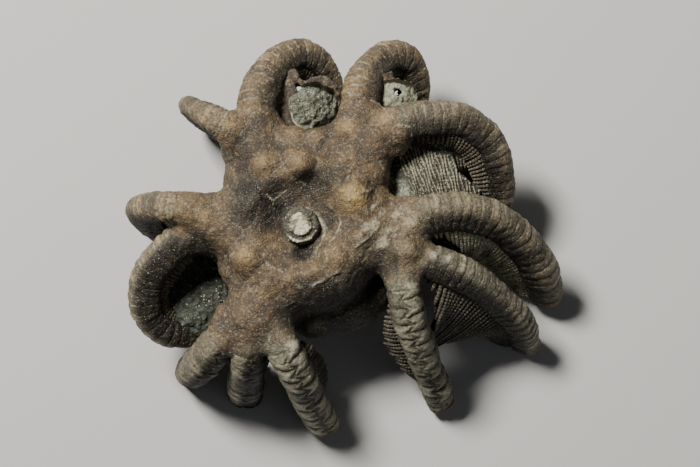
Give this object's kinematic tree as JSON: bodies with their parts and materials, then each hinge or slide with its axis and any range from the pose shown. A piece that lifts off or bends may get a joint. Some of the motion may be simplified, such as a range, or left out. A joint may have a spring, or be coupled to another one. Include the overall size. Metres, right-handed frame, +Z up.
{
  "type": "fossil crinoid",
  "caption": "Stone crown of a sea lily, base up: a knobbly cup with a stem stub in its pit, and stout plated arms that coil and hook down to the surface it rests on.",
  "frame": {"origin": "middle of the footprint, on the surface that the fossil rests on", "axes": "+Z up from the surface towards the stem stub; seen from above with +X to the right, the group of three straight arms points to -Y"},
  "size_m": [0.0718, 0.0654, 0.0276],
  "materials": {
    "cup_stone": "matte",
    "arm_stone": "satin",
    "stem_stone": "matte",
    "matrix_stone": "matte"
  },
  "bodies": {
    "root": {"calyx": "cup_stone", "stem": "stem_stone", "arm_01": "arm_stone", "arm_02": "arm_stone", "arm_03": "arm_stone", "arm_04": "arm_stone", "arm_05": "arm_stone", "arm_06": "arm_stone", "arm_07": "arm_stone", "arm_08": "arm_stone", "arm_09": "arm_stone", "arm_10": "arm_stone", "arm_11": "arm_stone", "arm_12": "arm_stone", "matrix_in_arm_02": "matrix_stone", "matrix_in_arm_03": "matrix_stone", "matrix_under_arm_04": "matrix_stone", "matrix_beside_arm_06": "matrix_stone", "matrix_in_arm_11": "matrix_stone"}
  },
  "joints": []
}
